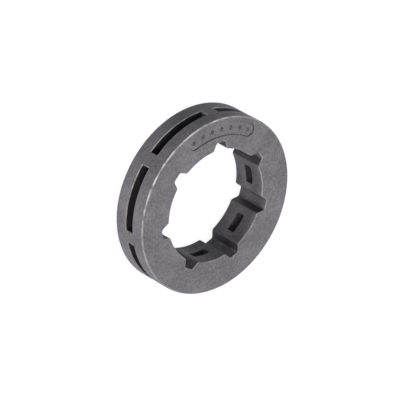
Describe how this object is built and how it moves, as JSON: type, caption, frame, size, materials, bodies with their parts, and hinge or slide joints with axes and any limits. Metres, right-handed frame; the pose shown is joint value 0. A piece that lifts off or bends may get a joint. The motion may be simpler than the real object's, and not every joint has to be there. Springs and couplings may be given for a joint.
{
  "type": "chainsaw rim sprocket",
  "caption": "Flat steel drive ring with chain pockets cut through its rim and a splined bore that slides on a clutch drum's hub.",
  "frame": {"origin": "on the bore's axis, in the plane of the back face, on which the ring lies", "axes": "+Z along the bore's axis from the back face to the front face; +Y through the middle of one spline notch"},
  "size_m": [0.035, 0.035, 0.0075],
  "materials": {
    "sintered_steel": "dark satin, fine sintered grain, edges worn bright"
  },
  "bodies": {
    "root": {"rim_sprocket": "sintered_steel"}
  },
  "joints": []
}
